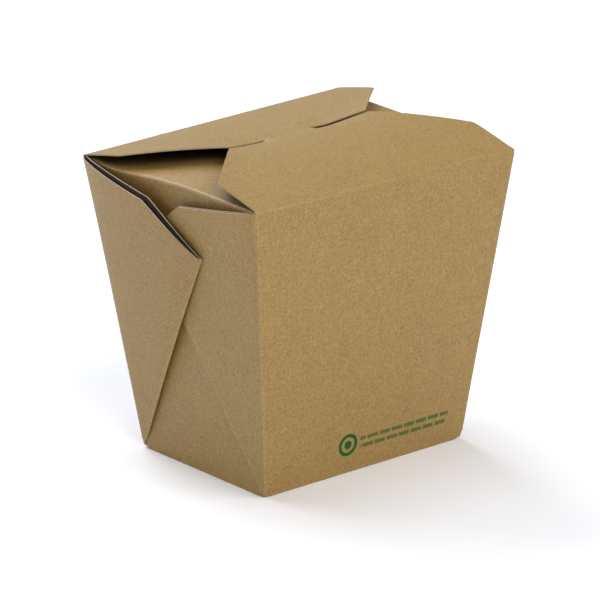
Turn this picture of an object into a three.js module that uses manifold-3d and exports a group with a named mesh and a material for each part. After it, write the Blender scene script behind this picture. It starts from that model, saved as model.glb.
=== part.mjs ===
// A noodle takeaway box: one creased sheet of kraft board, folded up and shut.
// Millimetres, +Z up, the front wall towards -Y, the origin at the middle of the base.
// Shut, it can't be seen into, so it is one solid. Open spaces are only those at its outside: the
// recesses between the lid flaps and the side flaps, and the gaps behind the folded corner gussets.

import * as THREE from "three";
import { mergeVertices } from "three/addons/utils/BufferGeometryUtils.js";
import Module from "manifold-3d";

const { lerp, clamp, degToRad } = THREE.MathUtils;

// Walls, measured over the outer corners
const HEIGHT = 100;
const BASE_WIDTH = 84;
const BASE_DEPTH = 63.2;
const RIM_WIDTH = 107.8;
const RIM_DEPTH = 89;
const BACK_RIGHT_LIFT = 3; // the folding left this corner of the rim higher than the other three
const CORNER_RADIUS = 1.2;
const BASE_CREASE = 0.8;
const BOARD = 0.45;

// Side flaps, which fold in from the side walls under the lid
const SIDE_FLAP_SLOPE = degToRad(9);
const SIDE_CREASE = 2.4;
const CORE_HALF_WIDTH = 23; // past this nothing can be seen between the flaps, so it is filled
const RIM_WALL = 1;

// Lid flaps, from the front and back walls, which cross at half depth
const LID_THICKNESS = 0.9;
const LID_CREASE = 1.2;
const LID_SIDE_EDGE = 19.6; // straight edge at each side, before the outline tapers at 45 degrees
const LID_HALF_DEPTH = RIM_DEPTH / 2;
const WALL_TOP = HEIGHT - LID_CREASE / 2; // the walls end where the rounded creases begin
const CROSSING_HALF_WIDTH = RIM_WIDTH / 2 - (LID_HALF_DEPTH - LID_SIDE_EDGE);
const SLIT_HALF_WIDTH = 10.2;
const SLIT_BEYOND_MIDDLE = 6; // the lock slit lies this far behind the middle of the lid
// Each flap rises to its crown, sags in the middle towards the slit, and twists up to the right
const FRONT_LID = { crown: 7.8, crownAt: 43, sag: 3, sagAt: 50.5, twist: 0.9 };
const BACK_LID = { crown: 6.4, crownAt: 50, sag: 2.8, sagAt: 38.5, twist: 0.4 };

// Gussets: each corner web is folded flat against the side wall, two plies thick
const GUSSET_SHOULDER = { along: 91.3, across: 36.3 }; // from the bottom corner, along its edge and across
const GUSSET_TIP = 91.8; // from the bottom corner, along the fold of the web
const GUSSET_LENGTH = 100; // the bows below are measured at this distance from the bottom corner
// A web bows off the side wall, and its folded tip lifts. The front web is held down by the back one
const BACK_GUSSET = { end: 1, bow: 5, tip: 1.65, skew: 0, growth: 2 };
const FRONT_GUSSET = { end: -1, bow: 4, tip: 0.5, skew: 0.5, growth: 6 };
const INNER_PLY_SHARE = 0.6;
const GUSSET_STEPS = 14;
const GUSSET_ROOT = 0.03; // the plies start this share of the way up, where they are still one with the wall

const KRAFT = new THREE.MeshStandardMaterial({ color: 0xa68a5e, roughness: 0.85, metalness: 0 });

const wasm = await Module();
wasm.setup();

// Numbers from first to last in equal steps
function steps(first, last, count) {
  return Array.from({ length: count + 1 }, (_, i) => lerp(first, last, i / count));
}

const halfWidth = (z) => lerp(BASE_WIDTH, RIM_WIDTH, z / HEIGHT) / 2;
const halfDepth = (z) => lerp(BASE_DEPTH, RIM_DEPTH, z / HEIGHT) / 2;

// Height of the rim plane, which the lifted corner twists a little
function rimHeight(x, y) {
  const across = clamp(x / RIM_WIDTH + 0.5, 0, 1);
  const back = clamp(y / RIM_DEPTH + 0.5, 0, 1);
  return HEIGHT + BACK_RIGHT_LIFT * across * back;
}

// How far a surface drops below a sharp fold at this distance from it
function creaseDrop(distance, radius) {
  return (radius * clamp(1 - distance / radius, 0, 1) ** 2) / 2;
}

function moveVertices(geometry, move) {
  const position = geometry.getAttribute("position");
  const point = new THREE.Vector3();
  for (let i = 0; i < position.count; i += 1) {
    point.fromBufferAttribute(position, i);
    move(point);
    position.setXYZ(i, point.x, point.y, point.z);
  }
  return geometry;
}

// A closed plate on a grid: place(point, column, row, upper) moves each grid point to where it lies
function plate(columns, rows, place) {
  const across = columns.length - 1;
  const along = rows.length - 1;
  const box = new THREE.BoxGeometry(1, 1, 1, across, along, 1);
  return moveVertices(box, (p) => {
    const column = columns[Math.round((p.x + 0.5) * across)];
    const row = rows[Math.round((p.y + 0.5) * along)];
    place(p, column, row, p.z > 0);
  });
}

function solidOf(geometry) {
  geometry.deleteAttribute("normal");
  geometry.deleteAttribute("uv");
  const merged = mergeVertices(geometry, 1e-4);
  return new wasm.Manifold(
    new wasm.Mesh({
      numProp: 3,
      vertProperties: merged.getAttribute("position").array,
      triVerts: new Uint32Array(merged.index.array),
    }),
  );
}

function geometryOf(solid) {
  const mesh = solid.getMesh();
  return new THREE.BufferGeometry()
    .setAttribute("position", new THREE.BufferAttribute(mesh.vertProperties, 3))
    .setIndex(new THREE.BufferAttribute(mesh.triVerts, 1));
}

// The four walls and the base: a rounded rectangle extruded once, then flared
function walls() {
  const levels = [
    { z: 0, inset: BASE_CREASE },
    { z: BASE_CREASE / 3, inset: BASE_CREASE / 3 },
    { z: BASE_CREASE, inset: 0 },
    { z: WALL_TOP, inset: 0 },
  ];
  const w = BASE_WIDTH / 2;
  const d = BASE_DEPTH / 2;
  const r = CORNER_RADIUS;
  const outline = new THREE.Shape();
  outline.absarc(w - r, d - r, r, 0, Math.PI / 2);
  outline.absarc(r - w, d - r, r, Math.PI / 2, Math.PI);
  outline.absarc(r - w, r - d, r, Math.PI, 1.5 * Math.PI);
  outline.absarc(w - r, r - d, r, 1.5 * Math.PI, 2 * Math.PI);
  const options = { depth: HEIGHT, steps: levels.length - 1, bevelEnabled: false, curveSegments: 4 };
  const block = new THREE.ExtrudeGeometry(outline, options);
  return moveVertices(block, (p) => {
    const level = levels[Math.round((p.z / HEIGHT) * options.steps)];
    const across = p.x / w;
    const back = p.y / d;
    const lift = rimHeight((across * RIM_WIDTH) / 2, (back * RIM_DEPTH) / 2) / HEIGHT;
    p.z = level.z * (level.z > BASE_CREASE ? lift : 1);
    p.x = across * (halfWidth(p.z) - level.inset);
    p.y = back * (halfDepth(p.z) - level.inset);
  });
}

// The space over one side flap, from outside the rim in to the filled core
function sideRecess(side) {
  const ridge = RIM_WIDTH / 2;
  const clearance = 12;
  const above = HEIGHT + 3 * clearance;
  const inward = [-clearance, 0, SIDE_CREASE / 3, SIDE_CREASE, ridge - CORE_HALF_WIDTH];
  const columns = side < 0 ? inward : inward.toReversed();
  return plate(columns, steps(-1, 1, 8), (p, inside, back, upper) => {
    const rim = rimHeight((side * RIM_WIDTH) / 2, (back * RIM_DEPTH) / 2);
    const slope = Math.max(inside, 0) * Math.tan(SIDE_FLAP_SLOPE);
    const floor = rim - slope - creaseDrop(Math.max(inside, 0), SIDE_CREASE);
    const depth = halfDepth(floor) - RIM_WALL;
    p.set(side * (ridge - inside), back * depth, upper ? above : floor);
  });
}

// Height of a lid flap over its crease, at a distance from the crease and a share of its half width
function lidRise(lid, distance, share) {
  const crown = lid.crown * Math.sin((Math.PI / 2) * (distance / lid.crownAt));
  const pressed = clamp((distance - LID_HALF_DEPTH) / SLIT_BEYOND_MIDDLE, 0, 1);
  const sag = lid.sag * (distance / lid.sagAt) ** 3 * (1 - share ** 4 * (1 - pressed));
  const twist = lid.twist * share * (1 - pressed) * (distance / LID_HALF_DEPTH) ** 4;
  return crown - sag + twist - creaseDrop(distance, LID_CREASE);
}

// Half width of a lid flap at a distance from its crease: square at first, then tapering
function lidHalfWidth(distance) {
  return RIM_WIDTH / 2 - Math.max(0, distance - LID_SIDE_EDGE);
}

// Where a lid flap lies over the point, given as a distance from its crease and a share of its half width
function lidPoint(p, lid, end, distance, share) {
  const x = share * lidHalfWidth(distance);
  const crease = rimHeight(x, end * LID_HALF_DEPTH);
  const y = end * Math.min(LID_HALF_DEPTH - distance, halfDepth(WALL_TOP));
  return p.set(x, y, crease + lidRise(lid, distance, share));
}

const LID_ROWS = [0, LID_CREASE / 3, LID_CREASE, ...steps(LID_SIDE_EDGE / 3, LID_SIDE_EDGE, 2)];

// The front flap lies underneath and carries the lock slit, where it ends here
function frontLid() {
  const slit = LID_HALF_DEPTH + SLIT_BEYOND_MIDDLE;
  const rows = [...LID_ROWS, ...steps(LID_SIDE_EDGE, LID_HALF_DEPTH, 5).slice(1), slit];
  return plate(steps(-1, 1, 16), rows, (p, share, distance, upper) => {
    lidPoint(p, FRONT_LID, -1, distance, share);
    p.z -= upper ? 0 : LID_THICKNESS;
  });
}

// The back flap ends in two shoulders, cut back to the tongue that goes down the slit
function backLid() {
  const neck = SLIT_HALF_WIDTH / CROSSING_HALF_WIDTH;
  const rows = [...LID_ROWS, ...steps(LID_SIDE_EDGE, LID_HALF_DEPTH, 5).slice(1)];
  const outer = steps(1, neck, 4);
  const columns = [...outer, ...steps(neck, -neck, 6).slice(1, -1), ...outer.toReversed().map((s) => -s)];
  return plate(columns, rows, (p, share, row, upper) => {
    const towardsNeck = clamp((1 - Math.abs(share)) / (1 - neck), 0, 1);
    const end = LID_HALF_DEPTH - SLIT_BEYOND_MIDDLE * towardsNeck;
    lidPoint(p, BACK_LID, 1, (row / LID_HALF_DEPTH) * end, share);
    p.x = share * lidHalfWidth(row);
    p.z -= upper ? 0 : LID_THICKNESS;
  });
}

// What fills the middle, from below the side flaps up into the lid
function core() {
  const bottom = HEIGHT - 12;
  const depth = halfDepth(bottom) - RIM_WALL;
  const front = new THREE.Vector3();
  const back = new THREE.Vector3();
  const width = CORE_HALF_WIDTH + BOARD;
  return plate(steps(-1, 1, 12), steps(-1, 1, 16), (p, across, along, upper) => {
    const x = across * width;
    const y = along * depth;
    const fromFront = Math.min(LID_HALF_DEPTH + y, LID_HALF_DEPTH + SLIT_BEYOND_MIDDLE);
    const fromBack = Math.min(LID_HALF_DEPTH - y, LID_HALF_DEPTH - SLIT_BEYOND_MIDDLE);
    lidPoint(front, FRONT_LID, -1, fromFront, x / lidHalfWidth(fromFront));
    lidPoint(back, BACK_LID, 1, fromBack, x / lidHalfWidth(fromBack));
    const lid = y < SLIT_BEYOND_MIDDLE ? front.z : back.z;
    p.set(x, y, upper ? lid - LID_THICKNESS / 2 : bottom);
  });
}

// Half the angle of a corner web, which is what the walls and the base leave of a full turn
function gussetHalfAngle() {
  const edge = new THREE.Vector3(RIM_WIDTH - BASE_WIDTH, RIM_DEPTH - BASE_DEPTH, 2 * HEIGHT);
  const frontCorner = edge.angleTo(new THREE.Vector3(-1, 0, 0));
  const sideCorner = edge.angleTo(new THREE.Vector3(0, -1, 0));
  return (2 * Math.PI - frontCorner - sideCorner - Math.PI / 2) / 2;
}

// How far a web reaches from the bottom corner at an angle from the corner's edge: its outline is cut
// from the rim down to the shoulder, and from there to the tip on the fold
function gussetReach(angle, edgeLength, halfAngle) {
  const rim = new THREE.Vector2(edgeLength, 0);
  const shoulder = new THREE.Vector2(GUSSET_SHOULDER.along, GUSSET_SHOULDER.across);
  const tip = new THREE.Vector2(Math.cos(halfAngle), Math.sin(halfAngle)).multiplyScalar(GUSSET_TIP);
  const [from, to] = angle < shoulder.angle() ? [rim, shoulder] : [shoulder, tip];
  const cut = to.clone().sub(from);
  return from.cross(cut) / new THREE.Vector2(Math.cos(angle), Math.sin(angle)).cross(cut);
}

// One gusset: both plies as one plate, which bows off the side wall between its edge and its fold
function gusset(side, { end, bow, tip, skew, growth }) {
  const foot = new THREE.Vector3((side * BASE_WIDTH) / 2, (end * BASE_DEPTH) / 2, 0);
  const top = new THREE.Vector3((side * RIM_WIDTH) / 2, (end * RIM_DEPTH) / 2, HEIGHT);
  const edge = top.sub(foot);
  const edgeLength = edge.length();
  edge.normalize();
  const across = new THREE.Vector3(0, -end, 0);
  across.addScaledVector(edge, -across.dot(edge)).normalize();
  const outward = new THREE.Vector3().crossVectors(across, edge).multiplyScalar(-end * side);
  const halfAngle = gussetHalfAngle();
  const shares = steps(0, 1, GUSSET_STEPS);
  const columns = end * side > 0 ? shares.toReversed() : shares;
  return plate(columns, steps(GUSSET_ROOT, 1, 6), (p, share, row, outer) => {
    const angle = share * halfAngle;
    const distance = row * gussetReach(angle, edgeLength, halfAngle);
    const inward = distance * Math.sin(angle);
    const opening = (distance / GUSSET_LENGTH) ** growth;
    const arch = bow * Math.sqrt(Math.sin(Math.PI * share)) * (1 - skew * share);
    const outerPly = (arch + tip * share) * opening;
    const innerPly = (arch * INNER_PLY_SHARE + tip * share) * opening - 2 * BOARD;
    const rounding = creaseDrop(inward, CORNER_RADIUS);
    p.copy(foot)
      .addScaledVector(edge, distance * Math.cos(angle))
      .addScaledVector(across, inward + rounding / 2)
      .addScaledVector(outward, (outer ? outerPly : innerPly) - rounding);
  });
}

let carton = solidOf(walls());
for (const side of [-1, 1]) carton = carton.subtract(solidOf(sideRecess(side)));
carton = carton.add(solidOf(core())).add(solidOf(frontLid())).add(solidOf(backLid()));
for (const side of [-1, 1]) {
  for (const web of [FRONT_GUSSET, BACK_GUSSET]) carton = carton.add(solidOf(gusset(side, web)));
}

const box = new THREE.Group();
const shut = new THREE.Mesh(geometryOf(carton), KRAFT);
shut.name = "carton";
box.add(shut);

export default box;
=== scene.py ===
# %% [markdown]
# # A noodle takeaway box in kraft board
# This box is one flat sheet of board, creased and folded. Its four corners aren't cut: the web of
# board in each corner folds in half and lies against the side of the box, so it holds soup. Two lid
# flaps close it, and the tongue of the back one locks in a slit of the front one.
# The lesson builds that one sheet as a surface without thickness, softens its folds, and only then
# gives it the thickness of the board, the way a die-cut blank becomes a box.

# %% Load the frame
import math

import bmesh
import bpy
import numpy as np
from mathutils import Matrix, Vector, kdtree


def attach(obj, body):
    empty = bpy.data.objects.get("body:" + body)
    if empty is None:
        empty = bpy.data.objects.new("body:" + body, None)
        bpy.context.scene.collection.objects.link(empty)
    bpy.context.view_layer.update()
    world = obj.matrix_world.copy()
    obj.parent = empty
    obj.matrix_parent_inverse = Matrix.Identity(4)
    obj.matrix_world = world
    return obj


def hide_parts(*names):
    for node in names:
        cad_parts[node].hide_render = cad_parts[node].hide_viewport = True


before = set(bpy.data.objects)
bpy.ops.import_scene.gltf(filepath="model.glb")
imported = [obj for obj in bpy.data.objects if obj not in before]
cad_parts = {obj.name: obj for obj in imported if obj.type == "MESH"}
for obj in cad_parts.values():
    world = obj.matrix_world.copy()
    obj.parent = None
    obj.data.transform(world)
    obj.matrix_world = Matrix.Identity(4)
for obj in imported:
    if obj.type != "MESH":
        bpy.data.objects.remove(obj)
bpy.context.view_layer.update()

MM = 0.001

# %% [markdown]
# ## The size of the walls
# All sizes are in millimetres, over the outer corners. The front wall faces -Y. The walls lean
# outwards, so the rim is wider and deeper than the base. One corner of the rim stayed 3 mm higher
# when the box was folded: real boxes are never quite square, and such a flaw makes a model
# believable. Everything else is laid out from these eight corners.

# %% Corners of the walls
HEIGHT = 100.0
BASE = np.array([42.0, 31.6])  # half width, half depth
RIM = np.array([53.9, 44.5])
BACK_RIGHT_LIFT = 2.98
BOARD = 0.4
FRONT, BACK, LEFT, RIGHT = -1, 1, -1, 1

WALL_ROWS = 44
STRIP_COLUMNS = 60
BASE_ROWS = 36


def corner(side, end, top):
    """A corner of the base, or of the rim, where one corner is lifted along its own edge."""
    low = np.array([side * BASE[0], end * BASE[1], 0.0])
    high = np.array([side * RIM[0], end * RIM[1], HEIGHT])
    if not top:
        return low
    if (side, end) == (RIGHT, BACK):
        high = high + (high - low) * BACK_RIGHT_LIFT / HEIGHT
    return high


def eased(count):
    """Numbers from 0 to 1 that crowd towards both ends, where the folds are."""
    return (1 - np.cos(np.pi * np.arange(count + 1) / count)) / 2


CORNER_LENGTH = float(np.linalg.norm(corner(LEFT, FRONT, True) - corner(LEFT, FRONT, False)))
print("corner edge:", round(CORNER_LENGTH, 2), "mm")

# %% [markdown]
# ## The lid flaps
# Each flap springs up from its crease in a shallow curve, its free end is pulled down in the middle
# by the lock, and the whole lid twists up a little to the right. One formula gives the height of
# both flaps, so that where they meet at the slit they agree by themselves.

# %% Height and width of the lid flaps
LID_TAPER_AT = {FRONT: 19.6, BACK: 19.3}  # how far from its crease a flap begins to narrow
LID_TAPER = 1.02  # a little more than 45 degrees
# How far a flap rises, sags in the middle and twists up at the right, and at what distance from its
# crease it is highest and sags most
FRONT_LID = dict(crown=7.9, crown_at=43.0, sag=1.93, sag_at=48.1, twist=0.9)
BACK_LID = dict(crown=6.62, crown_at=50.0, sag=2.0, sag_at=40.9, twist=0.25)
SAG_POWER = 2.5
LATE_POWER = 4  # what grows with this power of a share sets in late
SLIT_END = {LEFT: 12.2, RIGHT: 8.4}  # how far the slit reaches to either side
SLIT_Y = 3.6
SLIT_TILT = 0.0278  # how steeply the slit rises to the right
SHOULDER_Y = 0.3  # the back flap's outer corners lie here, and its edge slants back to the slit


def crease_lift(x, end):
    """How much higher the crease of this flap is than the rim's other corners."""
    share = np.clip(x / (2 * RIM[0]) + 0.5, 0, 1)
    return BACK_RIGHT_LIFT * share if end == BACK else 0 * x


def lid_half_width(distance, end):
    return RIM[0] - LID_TAPER * np.maximum(0, distance - LID_TAPER_AT[end])


SHOULDER_HALF = float(lid_half_width(RIM[1] - SHOULDER_Y, BACK))


def lid_height(x, y, end):
    """Height of a lid flap's upper face over a point."""
    lid = FRONT_LID if end == FRONT else BACK_LID
    distance = RIM[1] - end * y
    share = np.clip(x / lid_half_width(distance, end), -1, 1)
    pressed = np.clip((distance - RIM[1]) / SLIT_Y, 0, 1)
    if end == FRONT:
        middle = 1 - share**LATE_POWER * (1 - pressed)
    else:
        neck = SLIT_END[LEFT] / SHOULDER_HALF
        middle = np.clip((1 - np.abs(share)) / (1 - neck), 0, 1)
    rise = lid["crown"] * np.sin(np.pi / 2 * distance / lid["crown_at"])
    sag = lid["sag"] * np.clip(distance / lid["sag_at"], 0, 1) ** SAG_POWER * middle
    twist = lid["twist"] * share * (1 - pressed) * np.minimum(distance / RIM[1], 1) ** LATE_POWER
    tilt = pressed * SLIT_TILT * x if end == FRONT else 0
    return HEIGHT + crease_lift(x, end) + rise - sag + twist + tilt


for side in (LEFT, RIGHT):
    at_slit_end = np.array(side * SLIT_END[side])
    heights = [float(lid_height(at_slit_end, SLIT_Y, end).round(2)) for end in (FRONT, BACK)]
    print("front and back flap at the slit's end", side, heights)

# %% [markdown]
# ## How the flaps part beside the slit
# Between the slit's ends the tongue holds both flaps together. Beside it the back flap's shoulders
# lie free on the front flap, a thickness of board higher, and the right one stands off a little
# more. The back flap's near edge slants from its outer corners back to the slit's ends, and these
# short functions say where that line runs and how far apart the flaps are there.

# %% The line where the flaps meet
SHOULDER_GAP = {LEFT: 0.05, RIGHT: 0.5}
SHOULDER_START = 1.2  # how soon towards the slit's ends the flaps have parted
CURL = 0.15  # the cut pressed the shoulders' edges down a little
CURL_RUN = 0.7


def slit_end(x):
    return np.where(x > 0, SLIT_END[RIGHT], SLIT_END[LEFT])


def near_edge(x):
    """Where the back flap's near edge runs over the front one."""
    share = np.clip((SHOULDER_HALF - np.abs(x)) / (SHOULDER_HALF - slit_end(x)), 0, 1)
    return SHOULDER_Y + (SLIT_Y - SHOULDER_Y) * share


def parted(x):
    """0 between the slit's ends, where the flaps are locked, and 1 beside them."""
    return np.clip((np.abs(x) - slit_end(x)) / SHOULDER_START + 1, 0, 1)


def shoulder_drop(x):
    """How far the front flap passes below the back one's face."""
    return BOARD + CURL + np.where(x > 0, SHOULDER_GAP[RIGHT], SHOULDER_GAP[LEFT]) * parted(x)


print("shoulders:", round(2 * SHOULDER_HALF, 1), "mm over both ends")

# %% [markdown]
# ## The main strip
# Front flap, front wall, base, back wall and back flap are one straight strip of the blank. It is
# laid out as a grid: its columns run the whole length of the strip and fan out where it widens, and
# its rows crowd together at each fold, because that is where the surface has to bend.

# %% Grid of the main strip
LEAN_FROM = 36.0  # from here on the front flap's rows lean towards the back flap's near edge
GAP_RUN = 8.0  # over this distance the front flap dips to pass below that edge
HIDDEN_END = 3.0  # and this far it runs on below
HIDDEN_ROWS = 3
SLIT_MARGIN = 0.01  # keeps the slit's own ends out of what counts as beside it
LID_STEPS = np.sort([0.005, 0.012, 0.02, 0.035, *np.linspace(0.05, 1, 34), 0.988, 0.994])


def strip_columns():
    shares = 2 * eased(STRIP_COLUMNS) - 1
    necks = [side * (SLIT_END[side] - less) / SHOULDER_HALF for side in (LEFT, RIGHT)
             for less in (0, SHOULDER_START / 2, SHOULDER_START)]
    return np.unique(np.concatenate([shares, necks]).round(6))


def wall_row(t, shares, end):
    """A row of the front or back wall, a share t of the way up."""
    ends = [(1 - t) * corner(s, end, False) + t * corner(s, end, True) for s in (LEFT, RIGHT)]
    return ends[0] + (shares[:, None] + 1) / 2 * (ends[1] - ends[0])


def lid_row(step, shares, end):
    """A row of a lid flap: step is 0 at the crease, 1 where the flaps meet, and more below that."""
    full = RIM[1] - SHOULDER_Y
    at_end = shares * SHOULDER_HALF
    near = near_edge(at_end)
    if end == FRONT:
        bend, reach = LEAN_FROM, RIM[1] + near
    else:
        bend, reach = LID_TAPER_AT[end], RIM[1] - near
    along = min(step, 1) * full
    past = max(step - 1, 0)
    beside_slit = np.clip((np.abs(at_end) - slit_end(at_end) - SLIT_MARGIN) / SHOULDER_START, 0, 1)
    distance = min(along, bend) + np.clip((along - bend) / (full - bend), 0, 1) * (reach - bend)
    distance = distance + past * full * beside_slit
    x = shares * lid_half_width(along, end) / lid_half_width(full, end) * SHOULDER_HALF
    x = x * (1 - past * beside_slit)
    y = end * (RIM[1] - distance)
    z = lid_height(x, y, end)
    if end == FRONT:
        dip = lid_height(x, near, FRONT) - lid_height(x, near, BACK) + shoulder_drop(x) * parted(x)
        z = z - dip * np.clip(1 + (y - near) / GAP_RUN, 0, 1) ** 2
        z = np.where(step > 1, np.minimum(z, lid_height(x, y, BACK) - shoulder_drop(x)), z)
    else:
        to_edge = np.clip(1 - (reach - distance) / CURL_RUN, 0, 1)
        z = z - CURL * to_edge**2 * parted(x)
        y = y + crease_lift(x, end) * (RIM[1] - BASE[1]) / HEIGHT * (1 - step)
    return np.column_stack([x, y, z])


def main_strip():
    shares = strip_columns()
    up = eased(WALL_ROWS)
    hidden = 1 + np.linspace(1, 0, HIDDEN_ROWS, endpoint=False) * HIDDEN_END / RIM[1]
    rows = [lid_row(step, shares, FRONT) for step in [*hidden, *LID_STEPS[::-1]]]
    rows += [wall_row(t, shares, FRONT) for t in up[::-1]]
    for y in BASE[1] * (2 * eased(BASE_ROWS)[1:-1] - 1):
        rows.append(np.column_stack([shares * BASE[0], np.full(len(shares), y), np.zeros(len(shares))]))
    rows += [wall_row(t, shares, BACK) for t in up]
    rows += [lid_row(step, shares, BACK) for step in LID_STEPS]
    return np.array(rows)


STRIP = main_strip()
print("main strip:", STRIP.shape[0], "rows of", STRIP.shape[1])

# %% [markdown]
# ## The tongue
# The back flap's tongue goes down through the slit and lies under the front flap. Only its neck can
# be seen, so a short grid is enough: it starts on the back flap's last row, bends down within about
# a millimetre, and then follows the front flap from below.

# %% Grid of the tongue
TONGUE_FORWARD = (0.25, 0.6, 1.2, 2.4, 4.0, 6.0, 8.0)  # how far before the slit each row lies
TONGUE_BEND = 1.2
TONGUE_BEND_POWER = 0.7
TONGUE_CLEARANCE = 0.15
NECK_DROP = 1.3  # the neck's ends go down further, to clear the parted shoulders


def tongue():
    shares = strip_columns()
    shares = shares[np.abs(shares) <= slit_end(shares) / SHOULDER_HALF + 1e-6]
    x = shares * SHOULDER_HALF
    rows = [lid_row(1.0, shares, BACK)]
    for forward in TONGUE_FORWARD:
        y = np.full(len(x), SLIT_Y - forward)
        drop = (BOARD + TONGUE_CLEARANCE) * min(forward / TONGUE_BEND, 1) ** TONGUE_BEND_POWER
        drop = drop + NECK_DROP * shoulder_drop(x) * parted(x)
        rows.append(np.column_stack([x, y, lid_height(x, y, FRONT) - drop]))
    return np.array(rows)


TONGUE = tongue()
print("tongue:", TONGUE.shape[0], "rows of", TONGUE.shape[1])

# %% [markdown]
# ## The side walls
# A side wall is a second, shorter strip. It bends over a round ridge at the rim into a side flap,
# which lies nearly level under the lid and stands up a little in its middle. The wall lies two
# thicknesses of board further in than the corners, because the folded corner webs lie on it. The
# ridge sags where a finger pushed it in, more on the left than on the right.

# %% Grid of a side wall and its flap
SIDE_INSET = 2 * BOARD
SIDE_INSET_BY = 8.0  # the height at which the wall has gone in all the way
TUCK = BOARD + 0.2  # its ends stay this far off the front and back walls
TUCK_BY = 3  # from this height up
RIDGE = 1.3
RIDGE_STEPS = 8
FLAP_ROWS = 17
# Places from the front end (-1) to the back end (1), and how far the ridge sags there
SIDE_SAG = {
    LEFT: ([-1, -0.8, -0.5, -0.15, 0.2, 0.45, 0.65, 0.82, 1], [0, 0.1, -0.1, -0.4, 0.1, 1.0, 1.45, 1.3, 0]),
    RIGHT: ([-1, -0.5, 0.0, 0.26, 0.5, 0.7, 0.85, 1], [0, 0.2, 0.4, 0.45, 0.4, 0.35, 0.2, 0]),
}
SIDE_FLAP_LENGTH = 48.0
SIDE_FLAP_RISE = (math.radians(-2), math.radians(3))  # at the ends of the flap, and in its middle
SIDE_FLAP_TAPER = 0.04


def side_wall_point(side, back, t):
    ends = [(1 - t) * corner(side, e, False) + t * corner(side, e, True) for e in (FRONT, BACK)]
    point = ends[0] + (back[:, None] + 1) / 2 * (ends[1] - ends[0])
    z = point[:, 2]
    point[:, 0] -= side * SIDE_INSET * np.clip(z / SIDE_INSET_BY, 0, 1)
    point[:, 1] -= back * TUCK * np.clip(z / TUCK_BY, 0, 1)
    point[:, 2] -= np.interp(back, *SIDE_SAG[side]) * t**LATE_POWER
    return point


def side_board(side):
    back = 2 * eased(BASE_ROWS) - 1
    last = 1 - RIDGE / CORNER_LENGTH
    ups = eased(WALL_ROWS)
    rows = [side_wall_point(side, back, t) for t in ups[ups < last]]
    crease = side_wall_point(side, back, 1.0)
    below = side_wall_point(side, back, last)
    rise = SIDE_FLAP_RISE[1] + (SIDE_FLAP_RISE[0] - SIDE_FLAP_RISE[1]) * back**2
    inward = np.column_stack([np.full(len(back), -side), np.zeros(len(back)), np.tan(rise)])
    for turn in np.linspace(0, 1, RIDGE_STEPS + 1):
        inside = crease + RIDGE * inward
        rows.append((1 - turn) ** 2 * below + 2 * turn * (1 - turn) * crease + turn**2 * inside)
    for s in np.linspace(RIDGE, SIDE_FLAP_LENGTH, FLAP_ROWS + 1)[1:]:
        row = crease + s * inward
        row[:, 1] -= back * SIDE_FLAP_TAPER * (s - RIDGE)
        rows.append(row)
    return np.array(rows)


SIDES = {side: side_board(side) for side in (LEFT, RIGHT)}
RIDGE_ROW = SIDES[LEFT].shape[0] - 1 - FLAP_ROWS - RIDGE_STEPS // 2
print("side board:", SIDES[LEFT].shape[0], "rows of", SIDES[LEFT].shape[1])

# %% [markdown]
# ## Formulas in a node tree
# The corner webs and the materials need long formulas on points. Each sum is a Math node, and dozens
# of loose nodes are hard to read. This small class lets a formula be written as one: every sign in
# it adds the node for that sum and links it up.


# %% A field that takes part in sums
class Field:
    def __init__(self, tree, socket):
        self.tree, self.socket = tree, socket

    def math(self, operation, *others):
        node = self.tree.nodes.new("ShaderNodeMath")
        node.operation = operation
        for slot, value in zip(node.inputs, (self, *others)):
            if isinstance(value, Field):
                self.tree.links.new(value.socket, slot)
            else:
                slot.default_value = value
        return Field(self.tree, node.outputs[0])

    def __add__(self, other):
        return self.math("ADD", other)

    def __sub__(self, other):
        return self.math("SUBTRACT", other)

    def __mul__(self, other):
        return self.math("MULTIPLY", other)

    def __truediv__(self, other):
        return self.math("DIVIDE", other)

    def __pow__(self, other):
        return self.math("POWER", other)

    def least(self, other):
        return self.math("MINIMUM", other)

    def most(self, other):
        return self.math("MAXIMUM", other)

    def rest(self):
        """What is left of 1."""
        return self * -1.0 + 1.0

    def half_wave(self):
        """0 at 0, 1 at a half, and 0 again at 1."""
        return (self * math.pi).math("SINE")

    def ease(self):
        """From 0 to 1, slowly at both ends."""
        return (self * math.pi).math("COSINE") * -0.5 + 0.5

    def between(self, low, high):
        """0 up to low, 1 from high on."""
        return ((self - low) / (high - low)).most(0.0).least(1.0)


print("operations:", [name for name in vars(Field) if not name.startswith("_")])

# %% [markdown]
# ## The corner webs
# The web in each corner fans out from the bottom corner, so its rule is a polar one: an angle from
# the corner's edge, and a distance from its foot. Folded in half, it has two plies that bow away
# from the side wall between the edge and the fold, and its folded tip lifts off the wall. The same
# rule makes all four with other numbers, which is what a Geometry Nodes tree with named inputs is
# for.

# %% Sizes of the corner webs
WEB_SHOULDER = (91.3, 36.3)  # along the corner's edge and across from it
WEB_TIP = 91.8  # along the fold
WEB_LENGTH = 100.0  # the bows and lifts below are measured at this distance from the foot
BACK_WEB = dict(Bow=5.0, InnerBow=2.7, Skew=0.0, Lift=1.65, Swell=1.0, Growth=2.0)
FRONT_WEB = dict(Bow=4.0, InnerBow=3.4, Skew=0.5, Lift=0.5, Swell=0.0, Growth=7.0)
WEB_COLUMNS = 51
PLY = 0.48  # each ply takes this share of the columns, and the fold takes the rest
FOLD_RUN = 5.0  # this far from the foot the fold is full
FOLD_BULGE = 0.5  # in thicknesses of board, as is the next
FOLD_TUCK = 1.5  # keeps the inner ply's edge off the wall's corner
WEB_INPUTS = ["Rows", "Columns", "Foot", "Edge", "Across", "Outward", "EdgeLength", "HalfAngle",
              "Bow", "InnerBow", "Skew", "Lift", "Swell", "Growth", "Board", "Material"]
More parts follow.
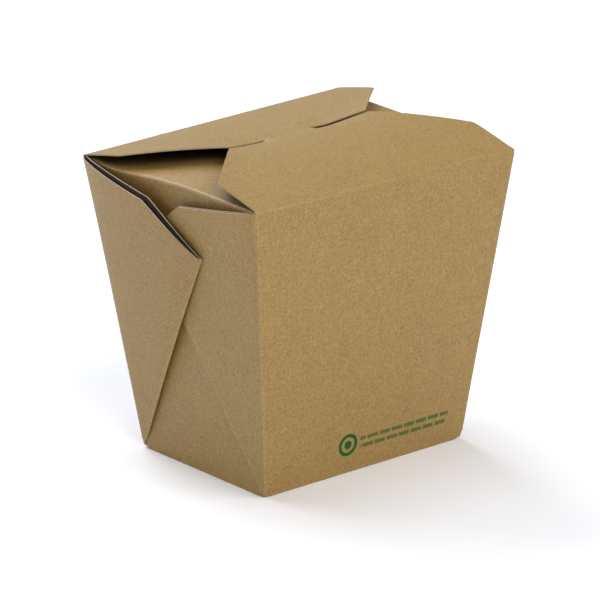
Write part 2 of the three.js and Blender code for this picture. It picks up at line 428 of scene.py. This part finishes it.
WEB_KINDS = dict(Rows="Int", Columns="Int", Foot="Vector", Edge="Vector", Across="Vector", Outward="Vector",
                 Material="Material")


def unit(v):
    return v / np.linalg.norm(v)


CORNER_EDGE = unit(corner(RIGHT, BACK, True) - corner(RIGHT, BACK, False))
HALF_ANGLE = (2 * math.pi - math.pi / 2 - math.acos(-CORNER_EDGE[0]) - math.acos(-CORNER_EDGE[1])) / 2
print("half angle of a web:", round(math.degrees(HALF_ANGLE), 2))

# %% [markdown]
# ## The rule of a web as a node tree
# The tree starts from a flat grid. One direction of it walks out over the first ply, round the fold
# and back over the second, and the other runs from the foot to the web's outline. Set Position then
# places each point by its distance along three directions that the corner gives.


# %% Build the tree
def web_reach(angle, edge_length):
    """How far a web reaches at an angle: cut from the rim to the shoulder, and on to the tip."""
    along, across = WEB_SHOULDER
    tip_along, tip_across = WEB_TIP * math.cos(HALF_ANGLE), WEB_TIP * math.sin(HALF_ANGLE)
    cosine, sine = angle.math("COSINE"), angle.math("SINE")
    to_shoulder = edge_length * across / (cosine * across + sine * (edge_length - along))
    run, climb = tip_along - along, tip_across - across
    to_tip = (cosine * climb - sine * run) ** -1.0 * (along * climb - across * run)
    return to_shoulder.least(to_tip)


def web_point(tree, start, terms):
    """The foot, moved along each named direction by its amount."""
    position = start.outputs["Foot"]
    for name, amount in terms.items():
        scaled = tree.nodes.new("ShaderNodeVectorMath")
        scaled.operation = "SCALE"
        tree.links.new(start.outputs[name], scaled.inputs[0])
        tree.links.new(amount.socket, scaled.inputs["Scale"])
        added = tree.nodes.new("ShaderNodeVectorMath")
        tree.links.new(position, added.inputs[0])
        tree.links.new(scaled.outputs[0], added.inputs[1])
        position = added.outputs[0]
    return position


def web_terms(given, u, v):
    """How far a grid point lies along the corner's edge, across from it and off the side wall."""
    fold = u.between(PLY, 1 - PLY)
    share = (u / PLY).least(u.rest() / PLY).least(1.0).ease()
    angle = share * given["HalfAngle"]
    cosine, sine = angle.math("COSINE"), angle.math("SINE")
    distance = web_reach(angle, given["EdgeLength"]) * v.ease()

    far = distance / WEB_LENGTH
    opening = far ** given["Growth"]
    arch = (share.half_wave().most(0.0) ** 0.5) * (given["Skew"] * share * -1.0 + 1.0)
    swell = far.half_wave().most(0.0) * given["Swell"]
    lift = (given["Lift"] * far + swell) * share
    outer = arch * given["Bow"] * opening + lift
    inner = arch * given["InnerBow"] * opening + lift
    inner = inner - (distance / SIDE_INSET_BY).least(1.0) * given["Board"] * 2.0
    height = outer * fold.rest() + inner * fold

    full = (distance / FOLD_RUN).least(1.0)
    bulge = fold.half_wave() * given["Board"] * FOLD_BULGE * full
    tuck = fold * share.rest() * full * given["Board"] * FOLD_TUCK
    return {"Edge": distance * cosine - bulge * sine, "Across": distance * sine + bulge * cosine + tuck,
            "Outward": height}


def web_tree():
    tree = bpy.data.node_groups.new("Corner web", "GeometryNodeTree")
    tree.interface.new_socket("Geometry", in_out="OUTPUT", socket_type="NodeSocketGeometry")
    for name in WEB_INPUTS:
        kind = "NodeSocket" + WEB_KINDS.get(name, "Float")
        tree.interface.new_socket(name, in_out="INPUT", socket_type=kind)
    new, link = tree.nodes.new, tree.links.new
    start, end = new("NodeGroupInput"), new("NodeGroupOutput")
    given = {name: Field(tree, start.outputs[name]) for name in WEB_INPUTS}

    grid = new("GeometryNodeMeshGrid")
    link(start.outputs["Columns"], grid.inputs["Vertices X"])
    link(start.outputs["Rows"], grid.inputs["Vertices Y"])
    place = new("ShaderNodeSeparateXYZ")
    link(new("GeometryNodeInputPosition").outputs[0], place.inputs[0])
    u, v = Field(tree, place.outputs["X"]) + 0.5, Field(tree, place.outputs["Y"]) + 0.5

    moved = new("GeometryNodeSetPosition")
    realized = new("GeometryNodeRealizeInstances")
    painted = new("GeometryNodeSetMaterial")
    link(grid.outputs["Mesh"], moved.inputs["Geometry"])
    link(web_point(tree, start, web_terms(given, u, v)), moved.inputs["Position"])
    link(moved.outputs["Geometry"], realized.inputs["Geometry"])
    link(realized.outputs["Geometry"], painted.inputs["Geometry"])
    link(start.outputs["Material"], painted.inputs["Material"])
    link(painted.outputs["Geometry"], end.inputs["Geometry"])
    return tree


WEB_TREE = web_tree()
print("web tree:", len(WEB_TREE.nodes), "nodes")

# %% [markdown]
# ## Kraft board
# Unbleached board is brown with a cloudy mottle, and its surface shows pulp fibres and small dark
# flecks. All of that goes into one shader node group that gives a colour and a height, so the
# printed face, the cut edges and the lining share it. Object coordinates in millimetres keep the
# grain in scale.


# %% Kraft shader group
def group_socket(tree, name, direction, kind, value=None):
    socket = tree.interface.new_socket(name, in_out=direction, socket_type="NodeSocket" + kind)
    if value is not None:
        socket.default_value = value


def noise(tree, vector, scale, detail, stretch=(1, 1, 1)):
    mapping = tree.nodes.new("ShaderNodeMapping")
    mapping.inputs["Scale"].default_value = stretch
    tree.links.new(vector, mapping.inputs["Vector"])
    node = tree.nodes.new("ShaderNodeTexNoise")
    node.inputs["Scale"].default_value = scale
    node.inputs["Detail"].default_value = detail
    tree.links.new(mapping.outputs[0], node.inputs["Vector"])
    return Field(tree, node.outputs["Fac"])


def mix_colour(tree, amount, first, second):
    node = tree.nodes.new("ShaderNodeMix")
    node.data_type = "RGBA"
    for slot, value in ((node.inputs[0], amount), (node.inputs[6], first), (node.inputs[7], second)):
        if isinstance(value, Field):
            tree.links.new(value.socket, slot)
        elif isinstance(value, bpy.types.NodeSocket):
            tree.links.new(value, slot)
        else:
            slot.default_value = value
    return node.outputs[2]


def kraft_group():
    tree = bpy.data.node_groups.new("Kraft fibres", "ShaderNodeTree")
    group_socket(tree, "Colour", "INPUT", "Color", (0.4, 0.27, 0.13, 1))
    group_socket(tree, "Dark", "INPUT", "Color", (0.2, 0.12, 0.05, 1))
    group_socket(tree, "Light", "INPUT", "Color", (0.6, 0.45, 0.28, 1))
    group_socket(tree, "Colour", "OUTPUT", "Color")
    group_socket(tree, "Height", "OUTPUT", "Float")
    given = tree.nodes.new("NodeGroupInput")
    end = tree.nodes.new("NodeGroupOutput")
    coordinates = tree.nodes.new("ShaderNodeTexCoord")
    in_mm = tree.nodes.new("ShaderNodeVectorMath")
    in_mm.operation = "SCALE"
    in_mm.inputs["Scale"].default_value = 1 / MM
    tree.links.new(coordinates.outputs["Object"], in_mm.inputs[0])
    place = in_mm.outputs[0]
    cloud = noise(tree, place, scale=0.09, detail=3)
    mottle = noise(tree, place, scale=1.2, detail=3)
    grain = noise(tree, place, scale=2.8, detail=4)
    fibre_up = noise(tree, place, scale=1.4, detail=2, stretch=(1, 1, 0.16))
    fibre_across = noise(tree, place, scale=1.4, detail=2, stretch=(0.16, 0.3, 1))
    fleck = noise(tree, place, scale=1.9, detail=1)
    # Each pattern counts between two levels of its noise, and is added by its share
    light = grain.between(0.5, 0.75) * 0.6 + mottle.between(0.48, 0.75) * 0.3
    light = light + fibre_up.between(0.6, 0.72) * 0.25
    dark = grain.between(0.5, 0.25) * 0.55 + mottle.between(0.5, 0.25) * 0.3
    dark = dark + fleck.between(0.7, 0.78) * 0.6 + fibre_across.between(0.4, 0.3) * 0.18
    dark = dark + cloud.between(0.5, 0.2) * 0.15
    shaded = mix_colour(tree, dark.least(1.0), given.outputs["Colour"], given.outputs["Dark"])
    lit = mix_colour(tree, light.least(1.0), shaded, given.outputs["Light"])
    tree.links.new(lit, end.inputs["Colour"])
    height = grain * 0.5 + mottle * 0.3 + fibre_up * 0.2
    tree.links.new(height.socket, end.inputs["Height"])
    return tree


KRAFT = kraft_group()
print("kraft group:", len(KRAFT.nodes), "nodes")

# %% [markdown]
# ## The printed mark
# Low on the front wall the box has a plain green ring with a dot, and two short rows of dashes.
# They could be a decal, but that would stand off the wall. Ink soaks into the board and has no
# thickness, so they are masks, worked out from Object coordinates.

# %% Print mask group
MARK_CENTRE = (-8.2, 10.2)  # from the middle of the wall, and up
RING = (3.9, 2.7)  # outer and inner radius
DOT = 1.5
ROW_LEVELS = (11.2, 8.45)
ROW_SPAN = (-3.2, 34.8)
ROW_SHORTER = 0.8  # each row ends this much sooner than the one above it
ROW_HALF = 0.66  # half the height of a row
ROW_SHIFT = 0.37  # of a dash, so that the rows' gaps don't line up
DASH, DASH_FILLED = 5.2, 0.87  # a dash with its gap, and the share of it that is inked
STROKE, STROKE_FILLED = 0.95, 0.77  # each dash is made of upright strokes
STROKE_PALER = 0.6
ROW_INK = 0.85
PRINT_SOFTNESS = 0.06  # half the width of an ink edge
FRONT_FROM = 0.1 - BASE[1]  # only the front wall lies further forward


def print_group():
    tree = bpy.data.node_groups.new("Printed mark", "ShaderNodeTree")
    group_socket(tree, "Mask", "OUTPUT", "Float")
    end = tree.nodes.new("NodeGroupOutput")
    coordinates = tree.nodes.new("ShaderNodeTexCoord")
    split = tree.nodes.new("ShaderNodeSeparateXYZ")
    tree.links.new(coordinates.outputs["Object"], split.inputs[0])
    x, y, z = (Field(tree, split.outputs[i]) / MM for i in range(3))

    def below(value, limit, softness=PRINT_SOFTNESS):
        return value.between(limit + softness, limit - softness)

    def disc(radius):
        dx, dz = x - MARK_CENTRE[0], z - MARK_CENTRE[1]
        return below((dx * dx + dz * dz).math("SQRT"), radius)

    mark = (disc(RING[0]) - disc(RING[1])).most(disc(DOT))
    rows = None
    for number, level in enumerate(ROW_LEVELS):
        inside = below(x, ROW_SPAN[0]).rest() * below(x, ROW_SPAN[1] - ROW_SHORTER * number)
        bar = below((z - level).math("ABSOLUTE"), ROW_HALF)
        dash = below((x / DASH + ROW_SHIFT * number).math("FRACT"), DASH_FILLED, softness=0.01)
        stroke = below((x / STROKE).math("FRACT"), STROKE_FILLED, softness=0.05).rest()
        row = inside * bar * dash * (stroke * STROKE_PALER).rest()
        rows = row if rows is None else rows.most(row)
    mask = mark.most(rows * ROW_INK) * below(y, FRONT_FROM, softness=0.1)
    tree.links.new(mask.socket, end.inputs["Mask"])
    return tree


PRINT = print_group()
print("print group:", len(PRINT.nodes), "nodes")

# %% [markdown]
# ## Three surfaces of one board
# The face is brown and a little smooth, and it takes the ink and the pale lines of the folds. The cut
# edge is rougher, and it is painted paler than the face: a painted highlight where light catches the
# edges. The inside of the box is lined, and the lining is painted a dark grey-brown, which is painted
# shade for the gaps between the plies. All three place the same kraft group with their own colours.
# Where a fold has cracked the face, the "crease" attribute, which the mesh gets further on, lets a
# paler brown through, in patches: partly wear, and partly a painted highlight where the folds catch
# the light.

# %% Materials
BOARD_GLOSS = 0.45
BOARD_SHEEN = 0.02
RELIEF_DEPTH = 0.05
# The pale line of the folds: partly wear, and partly a painted highlight where the folds catch the light
WEAR_AND_HIGHLIGHT = 0.55  # how much of the worn colour a fold shows
WEAR_AND_HIGHLIGHT_PATCHES = (0.35, 0.6)  # it shows on the high spots of the relief
INK_ROUGHNESS = 0.9


def srgb(r, g, b):
    """An sRGB colour, 0 to 255, as linear numbers for Blender."""
    shares = (r / 255, g / 255, b / 255)
    linear = [c / 12.92 if c <= 0.04045 else ((c + 0.055) / 1.055) ** 2.4 for c in shares]
    return (*linear, 1.0)


INK = srgb(0, 82, 14)
# A pale brown for the folds, for wear and for a painted highlight
WEAR_AND_HIGHLIGHT_COLOUR = srgb(205, 184, 146)


def board_material(name, colours, roughness, bump, printed=False):
    material = bpy.data.materials.new(name)
    material.use_nodes = True
    tree = material.node_tree
    shader = tree.nodes["Principled BSDF"]
    shader.inputs["Specular IOR Level"].default_value = BOARD_GLOSS
    shader.inputs["Sheen Weight"].default_value = BOARD_SHEEN
    shader.inputs["Roughness"].default_value = roughness
    kraft = tree.nodes.new("ShaderNodeGroup")
    kraft.node_tree = KRAFT
    for slot, colour in zip(("Colour", "Dark", "Light"), colours):
        kraft.inputs[slot].default_value = colour
    base = kraft.outputs["Colour"]
    if printed:
        # A paler brown along the folds, in patches: partly wear, and partly a painted highlight
        crease = tree.nodes.new("ShaderNodeAttribute")
        crease.attribute_name = "crease"
        patches = Field(tree, kraft.outputs["Height"]).between(*WEAR_AND_HIGHLIGHT_PATCHES)
        base = mix_colour(tree, Field(tree, crease.outputs["Fac"]) * patches * WEAR_AND_HIGHLIGHT, base, WEAR_AND_HIGHLIGHT_COLOUR)
        mark = tree.nodes.new("ShaderNodeGroup")
        mark.node_tree = PRINT
        ink = Field(tree, mark.outputs["Mask"])
        base = mix_colour(tree, ink, base, INK)
        matt = ink * (INK_ROUGHNESS - roughness) + roughness
        tree.links.new(matt.socket, shader.inputs["Roughness"])
    tree.links.new(base, shader.inputs["Base Color"])
    relief = tree.nodes.new("ShaderNodeBump")
    relief.inputs["Strength"].default_value = bump
    relief.inputs["Distance"].default_value = RELIEF_DEPTH * MM
    tree.links.new(kraft.outputs["Height"], relief.inputs["Height"])
    tree.links.new(relief.outputs["Normal"], shader.inputs["Normal"])
    return material


BOARD_FACE = board_material("kraft_face", (srgb(151, 120, 62), srgb(109, 81, 36), srgb(184, 155, 98)),
                            roughness=0.52, bump=0.35, printed=True)
# The cut edge is painted paler than the face: a painted highlight where light catches the edges
BOARD_EDGE = board_material("kraft_cut_edge", (srgb(164, 142, 114), srgb(112, 90, 66), srgb(190, 172, 148)),
                            roughness=0.85, bump=0.5)
# The lining's dark grey-brown is painted shade for the gaps between the plies
BOARD_LINING_PAINTED_SHADE = board_material("lining_painted_shade", (srgb(92, 84, 77), srgb(72, 65, 59), srgb(110, 101, 93)),
                              roughness=0.6, bump=0.15)
print("materials:", BOARD_FACE.name, BOARD_EDGE.name, BOARD_LINING_PAINTED_SHADE.name)

# %% [markdown]
# ## Folding the four webs
# The tree is run once for each corner, on an object that only holds the modifier. Its result is read
# as points and faces, and the holder is removed: the webs aren't pieces of their own, but parts of
# the one sheet.


# %% Fold the four webs
def web_mesh(tree, side, end, numbers):
    foot = corner(side, end, False)
    top = corner(side, end, True)
    edge = unit(top - foot)
    towards = np.array([0.0, -end, 0.0])
    across = unit(towards - edge * towards.dot(edge))
    outward = np.cross(across, edge)
    outward = outward * np.sign(outward[0] * side)
    inputs = dict(Rows=WALL_ROWS + 1, Columns=WEB_COLUMNS, Foot=foot, Edge=edge, Across=across,
                  Outward=outward, EdgeLength=float(np.linalg.norm(top - foot)),
                  HalfAngle=HALF_ANGLE, Board=BOARD, Material=BOARD_FACE, **numbers)
    holder = bpy.data.objects.new("web_rule", bpy.data.meshes.new("web_rule"))
    bpy.context.collection.objects.link(holder)
    modifier = holder.modifiers.new("Corner web", "NODES")
    modifier.node_group = tree
    for item in tree.interface.items_tree:
        if item.item_type == "SOCKET" and item.in_out == "INPUT":
            value = inputs[item.name]
            modifier[item.identifier] = value.tolist() if isinstance(value, np.ndarray) else value
    holder.update_tag()
    made = bpy.data.meshes.new_from_object(holder.evaluated_get(bpy.context.evaluated_depsgraph_get()))
    points = np.empty(3 * len(made.vertices))
    made.vertices.foreach_get("co", points)
    faces = [tuple(p.vertices) for p in made.polygons]
    bpy.data.objects.remove(holder)
    bpy.data.meshes.remove(made)
    return points.reshape(-1, 3), faces


WEBS = {}
for side in (LEFT, RIGHT):
    for end, numbers in ((FRONT, FRONT_WEB), (BACK, BACK_WEB)):
        WEBS[side, end] = web_mesh(WEB_TREE, side, end, numbers)
print("points of each web:", {place: len(points) for place, (points, _) in WEBS.items()})

# %% [markdown]
# ## One sheet
# The strip, the tongue, the side walls and the webs share their border points, because they were
# laid out from the same corners and the same rows. Points closer together than a thousandth of a
# millimetre are taken as one, and the pieces become a single sheet, as the real blank is.

# %% Join the grids
NEIGHBOURS = [(i, j, k) for i in (0, -1, 1) for j in (0, -1, 1) for k in (0, -1, 1)]
WELD_DISTANCE = 0.001


def grid_faces(rows, columns):
    index = np.arange(rows * columns).reshape(rows, columns)
    quads = np.stack([index[:-1, :-1], index[:-1, 1:], index[1:, 1:], index[1:, :-1]], axis=-1)
    return [tuple(q) for q in quads.reshape(-1, 4)]


def same_points(points):
    """The points without their doubles, and which of them each point has become."""
    keys = np.round(points / WELD_DISTANCE).astype(int)
    known, merged = {}, []
    new_index = np.empty(len(points), dtype=int)
    for i, key in enumerate(map(tuple, keys)):
        near = [known.get((key[0] + dx, key[1] + dy, key[2] + dz)) for dx, dy, dz in NEIGHBOURS]
        found = next((k for k in near if k is not None
                      and np.abs(merged[k] - points[i]).max() < WELD_DISTANCE), None)
        if found is None:
            found = len(merged)
            merged.append(points[i])
            known[key] = found
        new_index[i] = found
    return np.array(merged), new_index


def weld(parts):
    """Several (points, faces) as one, with shared points merged and collapsed faces dropped."""
    merged, new_index = same_points(np.concatenate([p for p, _ in parts]))
    faces, offset = [], 0
    for part_points, part_faces in parts:
        for face in part_faces:
            corners = list(dict.fromkeys(new_index[offset + k] for k in face))
            if len(corners) > 2:
                faces.append(tuple(int(c) for c in corners))
        offset += len(part_points)
    return merged, faces


grids = (STRIP, TONGUE, SIDES[LEFT], SIDES[RIGHT])
parts = [(grid.reshape(-1, 3), grid_faces(*grid.shape[:2])) for grid in grids]
parts += list(WEBS.values())
SHEET_POINTS, SHEET_FACES = weld(parts)
print("sheet:", len(SHEET_POINTS), "points,", len(SHEET_FACES), "faces")

# %% [markdown]
# ## Softening the folds
# Creased board never folds to a knife edge: the crease is a band about a millimetre wide. Points
# close to a fold are drawn towards their neighbours again and again, which rounds the fold and
# leaves the flat panels alone. Each neighbour counts less the farther off it is, so that flat rows
# of uneven spacing don't move. The four feet, where five panels meet in a point, are blunter still.

# %% Relax the folds
FOLD_REACH = 1.9
FOLD_ROUNDS = 24
FOLD_PULL = 0.5
FOOT_REACH, FOOT_ROUND, FOOT_POWER = 3.2, 0.9, 1.5
FEET = [corner(side, end, False) for side in (LEFT, RIGHT) for end in (FRONT, BACK)]


def distance_to(points, a, b):
    along = b - a
    t = np.clip((points - a) @ along / along.dot(along), 0, 1)
    return np.linalg.norm(points - (a + t[:, None] * along), axis=1)


def fold_lines():
    for side in (LEFT, RIGHT):
        for end in (FRONT, BACK):
            yield corner(side, end, False), corner(side, end, True)
    for end in (FRONT, BACK):
        for top in (False, True):
            yield corner(LEFT, end, top), corner(RIGHT, end, top)
    for side in (LEFT, RIGHT):
        yield corner(side, FRONT, False), corner(side, BACK, False)


def neighbour_pairs(points, faces, strength):
    """Pairs of a point that may move and a neighbour; on a cut edge, only neighbours along it."""
    sides = np.array([(f[i], f[(i + 1) % len(f)]) for f in faces for i in range(len(f))])
    sides.sort(axis=1)
    edges, counts = np.unique(sides, axis=0, return_counts=True)
    on_border = np.zeros(len(points), dtype=bool)
    on_border[edges[counts == 1]] = True
    both = np.concatenate([edges, edges[:, ::-1]])
    border_edge = np.concatenate([counts == 1, counts == 1])
    both = both[~on_border[both[:, 0]] | border_edge]
    return both[strength[both[:, 0]] > 0]


def relax(points, faces):
    near_fold = np.min([distance_to(points, a, b) for a, b in fold_lines()], axis=0)
    to_foot = np.min([np.linalg.norm(points - foot, axis=1) for foot in FEET], axis=0)
    strength = np.clip(1 - np.minimum(near_fold, to_foot / 2) / FOLD_REACH, 0, 1) ** 0.5 * FOLD_PULL
    moving, neighbour = neighbour_pairs(points, faces, strength).T
    for _ in range(FOLD_ROUNDS):
        step = points[neighbour] - points[moving]
        weight = 1 / np.maximum(np.linalg.norm(step, axis=1), 1e-6)
        pull = np.zeros_like(points)
        total = np.zeros(len(points))
        np.add.at(pull, moving, step * weight[:, None])
        np.add.at(total, moving, weight)
        points = points + pull / np.maximum(total, 1e-9)[:, None] * strength[:, None]
    return points, near_fold


def round_feet(points):
    inside = np.array([0, 0, HEIGHT / 3])
    for foot in FEET:
        closeness = np.clip(1 - np.linalg.norm(points - foot, axis=1) / FOOT_REACH, 0, 1)
        points = points + unit(inside - foot) * FOOT_ROUND * closeness[:, None] ** FOOT_POWER
    return points


SHEET_POINTS, FOLD_DISTANCE = relax(SHEET_POINTS, SHEET_FACES)
SHEET_POINTS = round_feet(SHEET_POINTS)
print("points near a fold:", int((FOLD_DISTANCE < FOLD_REACH).sum()))

# %% [markdown]
# ## Where the folds are painted paler
# Folding cracks the surface of kraft board, and a fine pale line is left along every fold. The pale
# line is also a painted highlight, where the rounded folds catch the light. How close a point lies to
# a fold is stored as an attribute of the mesh, which the material can read. The folds of the webs and
# the ridges of the side flaps are curved, so a tree of their points tells how far off they are.

# %% Measure how near each point is to a fold
# The pale line along the folds is partly wear and partly a painted highlight
CREASE_WIDTH = 1.0  # the wear has faded this far from a fold
PANEL_WEAR_AND_HIGHLIGHT, RIDGE_WEAR_AND_HIGHLIGHT = 0.35, 0.35  # the webs' sharp folds are worn most, and count as 1


def nearness(points, curve):
    tree = kdtree.KDTree(len(curve))
    for i, point in enumerate(curve):
        tree.insert(point, i)
    tree.balance()
    return np.clip(1 - np.array([tree.find(point)[2] for point in points]) / CREASE_WIDTH, 0, 1)


web_folds = np.concatenate([p.reshape(WEB_COLUMNS, -1, 3)[WEB_COLUMNS // 2] for p, _ in WEBS.values()])
ridges = np.concatenate([grid[RIDGE_ROW] for grid in SIDES.values()])
panel_folds = np.clip(1 - FOLD_DISTANCE / CREASE_WIDTH, 0, 1)
CREASE = np.max([panel_folds * PANEL_WEAR_AND_HIGHLIGHT, nearness(SHEET_POINTS, ridges) * RIDGE_WEAR_AND_HIGHLIGHT,
                 nearness(SHEET_POINTS, web_folds)], axis=0)
print("points on a crease:", int((CREASE > 0).sum()))

# %% [markdown]
# ## Thickness
# The sheet now gets the thickness of the board, inwards, with Blender's Solidify modifier. Its rim
# faces take the second material, so every die-cut edge of the box is painted paler, a painted
# highlight where light catches the edges, and its inner faces take the third, the lining, whose dark
# colour is painted shade for the gaps between the plies. Near a foot the layers of a web are pressed
# into one, and there the lining's faces get the brown of the face. The modifier's result is kept as a
# plain mesh.

# %% Give the sheet its thickness
FACE, EDGE, LINING = range(3)
PRESSED_BELOW = 9.0  # the height up to which no lining shows
SHARP_FROM = math.radians(50)
FRONT_WALL_POINT = Vector((0, -38, 50)) * MM  # tells which way is out


def turn_outwards(mesh):
    work = bmesh.new()
    work.from_mesh(mesh)
    bmesh.ops.recalc_face_normals(work, faces=work.faces)
    front = min(work.faces, key=lambda f: (f.calc_center_median() - FRONT_WALL_POINT).length)
    if front.normal.y > 0:
        bmesh.ops.reverse_faces(work, faces=work.faces)
    work.to_mesh(mesh)
    work.free()


def carton_object(points, faces):
    mesh = bpy.data.meshes.new("carton_board")
    mesh.from_pydata((points * MM).tolist(), [], faces)
    for material in (BOARD_FACE, BOARD_EDGE, BOARD_LINING_PAINTED_SHADE):
        mesh.materials.append(material)
    mesh.attributes.new("crease", "FLOAT", "POINT").data.foreach_set("value", CREASE)
    turn_outwards(mesh)
    piece = bpy.data.objects.new("carton_board", mesh)
    bpy.context.collection.objects.link(piece)
    solidify = piece.modifiers.new("Board", "SOLIDIFY")
    solidify.thickness = BOARD * MM
    solidify.offset = -1
    solidify.use_quality_normals = True
    solidify.material_offset_rim = EDGE
    solidify.material_offset = LINING
    solid = bpy.data.meshes.new_from_object(piece.evaluated_get(bpy.context.evaluated_depsgraph_get()))
    piece.modifiers.clear()
    piece.data = solid
    solid.name = "carton_board"
    solid.polygons.foreach_set("use_smooth", np.ones(len(solid.polygons), dtype=bool))
    for face in solid.polygons:
        if face.material_index == LINING and face.center.z < PRESSED_BELOW * MM:
            face.material_index = FACE
    solid.set_sharp_from_angle(angle=SHARP_FROM)
    return piece


CARTON = carton_object(SHEET_POINTS, SHEET_FACES)
print("carton:", len(CARTON.data.polygons), "faces")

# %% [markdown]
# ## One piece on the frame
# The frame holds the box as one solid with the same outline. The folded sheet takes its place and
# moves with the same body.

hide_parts("carton")
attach(CARTON, "root")
print("carton_board rides on root")

# %% [markdown]
# ## Floor
# The box stands on a white floor. It is large, so that its edges stay out of the picture, and matt,
# so that nothing is mirrored in it.

# %% Floor
FLOOR = 3.0  # metres from the middle to an edge
FLOOR_WHITE = (0.95, 0.95, 0.95, 1)

floor_mesh = bpy.data.meshes.new("floor")
floor_corners = [(-FLOOR, -FLOOR, 0), (FLOOR, -FLOOR, 0), (FLOOR, FLOOR, 0), (-FLOOR, FLOOR, 0)]
floor_mesh.from_pydata(floor_corners, [], [(0, 1, 2, 3)])
floor = bpy.data.objects.new("floor", floor_mesh)
bpy.context.collection.objects.link(floor)
floor_material = bpy.data.materials.new("white_floor")
floor_material.use_nodes = True
floor_shader = floor_material.node_tree.nodes["Principled BSDF"]
floor_shader.inputs["Base Color"].default_value = FLOOR_WHITE
floor_shader.inputs["Roughness"].default_value = 0.9
floor_mesh.materials.append(floor_material)
print("floor laid,", 2 * FLOOR, "m wide")

# %% [markdown]
# ## Soft studio light
# Two large lamps stand before the box. The front wall gets both and is bright, and the left wall
# gets little of either, so the two walls part at the corner. A low lamp behind on the left grazes
# that wall and draws a dark line along the fold that stands off it. The lamps behind and above light
# the lid in a slightly bluish white, and a faint light from all around fills the shadows.


# %% Light
def area_light(name, location, target, size, energy, colour):
    data = bpy.data.lights.new(name, "AREA")
    data.shape = "DISK"
    data.size = size
    data.energy = energy
    data.color = colour
    light = bpy.data.objects.new(name, data)
    light.location = location
    light.rotation_euler = (Vector(target) - Vector(location)).to_track_quat("-Z", "Y").to_euler()
    bpy.context.collection.objects.link(light)
    return light


BOX_MIDDLE = (0, 0, 0.05)
area_light("front_left", (-0.42, -1.13, 0.9), BOX_MIDDLE, size=0.7, energy=7.6, colour=(1.0, 0.98, 0.96))
area_light("front_right", (0.35, -1.0, 1.05), BOX_MIDDLE, size=1.2, energy=8.8, colour=(1.0, 0.98, 0.96))
area_light("back_left", (-0.75, 1.35, 0.6), BOX_MIDDLE, size=0.5, energy=5.0, colour=(1.0, 0.97, 0.95))
area_light("back", (0.1, 1.35, 1.15), BOX_MIDDLE, size=1.3, energy=21.6, colour=(0.87, 0.91, 1.0))
area_light("top", (0, 0.3, 1.7), (0, 0.1, 0), size=1.2, energy=11.4, colour=(0.83, 0.88, 1.0))
world = bpy.data.worlds.new("studio")
world.use_nodes = True
world.node_tree.nodes["Background"].inputs["Color"].default_value = (0.93, 0.95, 1, 1)
world.node_tree.nodes["Background"].inputs["Strength"].default_value = 0.2
bpy.context.scene.world = world
bpy.context.scene.view_settings.view_transform = "Standard"

# %% [markdown]
# ## Camera
# The camera looks from the front left corner and a little above, through a long lens: the walls
# hardly converge towards the back. Its place is worked out from two angles and a distance, and it is
# rolled by less than a degree, as the box stands in the picture.

# %% Camera
AZIMUTH, ELEVATION, ROLL = (math.radians(a) for a in (39.469, 18.188, -0.701))
CAMERA_DISTANCE = 1222.27
LOOK_AT = np.array([0, 0, 50.0])
LOOK_SHIFT = (-0.322, -0.394)  # to the right and up
IMAGE, SENSOR, FOCAL_PIXELS = 600, 36, 3737
CLIP_END = 20


def camera():
    back = np.array([-math.sin(AZIMUTH) * math.cos(ELEVATION), -math.cos(AZIMUTH) * math.cos(ELEVATION),
                     math.sin(ELEVATION)])
    level = np.array([math.cos(AZIMUTH), -math.sin(AZIMUTH), 0])
    upright = np.cross(back, level)
    right = math.cos(ROLL) * level + math.sin(ROLL) * upright
    up = math.cos(ROLL) * upright - math.sin(ROLL) * level
    place = LOOK_AT + LOOK_SHIFT[0] * right + LOOK_SHIFT[1] * up + CAMERA_DISTANCE * back
    data = bpy.data.cameras.new("camera")
    data.sensor_width = SENSOR
    data.lens = FOCAL_PIXELS * SENSOR / IMAGE
    data.clip_end = CLIP_END
    made = bpy.data.objects.new("camera", data)
    turned = np.column_stack([right, up, back, place * MM])
    made.matrix_world = Matrix([*turned.tolist(), [0, 0, 0, 1]])
    bpy.context.collection.objects.link(made)
    return made


bpy.context.scene.camera = camera()
print("camera at", [round(v, 3) for v in bpy.context.scene.camera.location])

# %% [markdown]
# ## Finish
# The visual model has to keep the size of the solid that it replaces.
